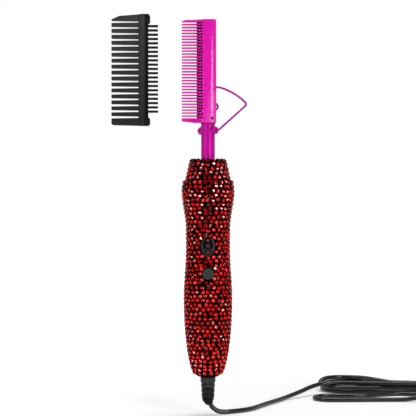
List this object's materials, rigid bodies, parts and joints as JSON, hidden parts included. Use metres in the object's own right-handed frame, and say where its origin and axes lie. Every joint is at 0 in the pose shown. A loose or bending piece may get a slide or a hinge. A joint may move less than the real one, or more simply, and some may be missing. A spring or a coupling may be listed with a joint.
{
  "type": "hot comb",
  "caption": "Electric hot comb with a slotted comb head, folding wire stand, stone-covered handle, push button, light window, swivelling lead and clip-on guard comb.",
  "frame": {"origin": "middle of the grip, on the handle's axis", "axes": "+Z along the handle to the comb head, -X the way the teeth point, -Y the side with the button and the lights"},
  "size_m": [0.3386, 0.1771, 0.3201],
  "materials": {
    "head_pink": "satin painted aluminium, hot pink",
    "ceramic_black": "matt black insulated heater",
    "ceramic_tan": "matt glass-fibre sleeve",
    "screw_black": "blackened steel",
    "neck_magenta": "satin painted metal, magenta",
    "seal_dark": "matt dark seal",
    "wire_magenta": "coated steel wire, magenta",
    "bush_tan": "heat-resistant resin",
    "shell_black": "semi-gloss black moulding",
    "stone_red": "faceted red glass stones, foil backed",
    "screw_steel": "plain steel",
    "frame_grey": "dark grey trim",
    "window_black": "tinted glossy lens",
    "led_red": "unlit dark red lens",
    "button_charcoal": "soft matt charcoal",
    "plastic_white": "natural nylon",
    "switch_black": "moulded black",
    "board_green": "green solder mask",
    "parts_dark": "moulded dark parts",
    "lead_white": "silicone insulation",
    "lead_black": "insulated wire",
    "contact_brass": "plain brass",
    "relief_black": "matt dark grey moulded rubber",
    "cord_black": "satin black mains lead",
    "tie_black": "black strap",
    "plug_black": "moulded black plug",
    "blade_steel": "nickel-plated blades",
    "guard_charcoal": "satin charcoal plastic"
  },
  "bodies": {
    "comb": {"comb_head": "head_pink", "heater_core": "ceramic_black", "thermistor": "ceramic_tan", "head_screw": "screw_black", "neck_tube": "neck_magenta", "neck_collar": "seal_dark", "hinge_bosses": "neck_magenta", "neck_bush": "bush_tan", "top_cone": "shell_black", "cone_stones": "stone_red", "handle_front": "shell_black", "handle_back": "shell_black", "stones_front": "stone_red", "stones_back": "stone_red", "handle_screws": "screw_steel", "window_frame": "frame_grey", "light_window": "window_black", "indicator_leds": "led_red", "tact_switch": "switch_black", "circuit_board": "board_green", "board_parts": "parts_dark", "board_screws": "screw_steel", "heater_leads": "lead_white", "power_leads": "lead_black", "brush_holder": "plastic_white", "contact_brushes": "contact_brass"},
    "stand": {"stand_wire": "wire_magenta"},
    "button": {"power_button": "button_charcoal", "switch_plunger": "plastic_white"},
    "lead": {"contact_rings": "contact_brass", "swivel_bush": "relief_black", "strain_relief": "relief_black", "cord": "cord_black", "cord_hank": "cord_black", "cord_tie": "tie_black", "plug_relief": "plug_black", "plug_body": "plug_black", "plug_blades": "blade_steel"},
    "guard": {"guard_comb": "guard_charcoal"}
  },
  "joints": [
    {"name": "stand_fold", "type": "hinge", "parent": "comb", "child": "stand", "pos_m": [0, 0, 0.1258], "axis": [-0.7071, 0.7071, 0], "range_deg": [0, 100]},
    {"name": "button_press", "type": "slide", "parent": "comb", "child": "button", "axis": [0, 1, 0], "range_m": [0, 0.0008], "stiffness_N_per_m": 1500},
    {"name": "cord_swivel", "type": "hinge", "parent": "comb", "child": "lead", "pos_m": [0, 0, -0.0712], "axis": [0, 0, 1], "continuous": true},
    {"name": "guard_slide", "type": "slide", "parent": "comb", "child": "guard", "axis": [1, 0, 0], "range_m": [0, 0.0305]}
  ]
}
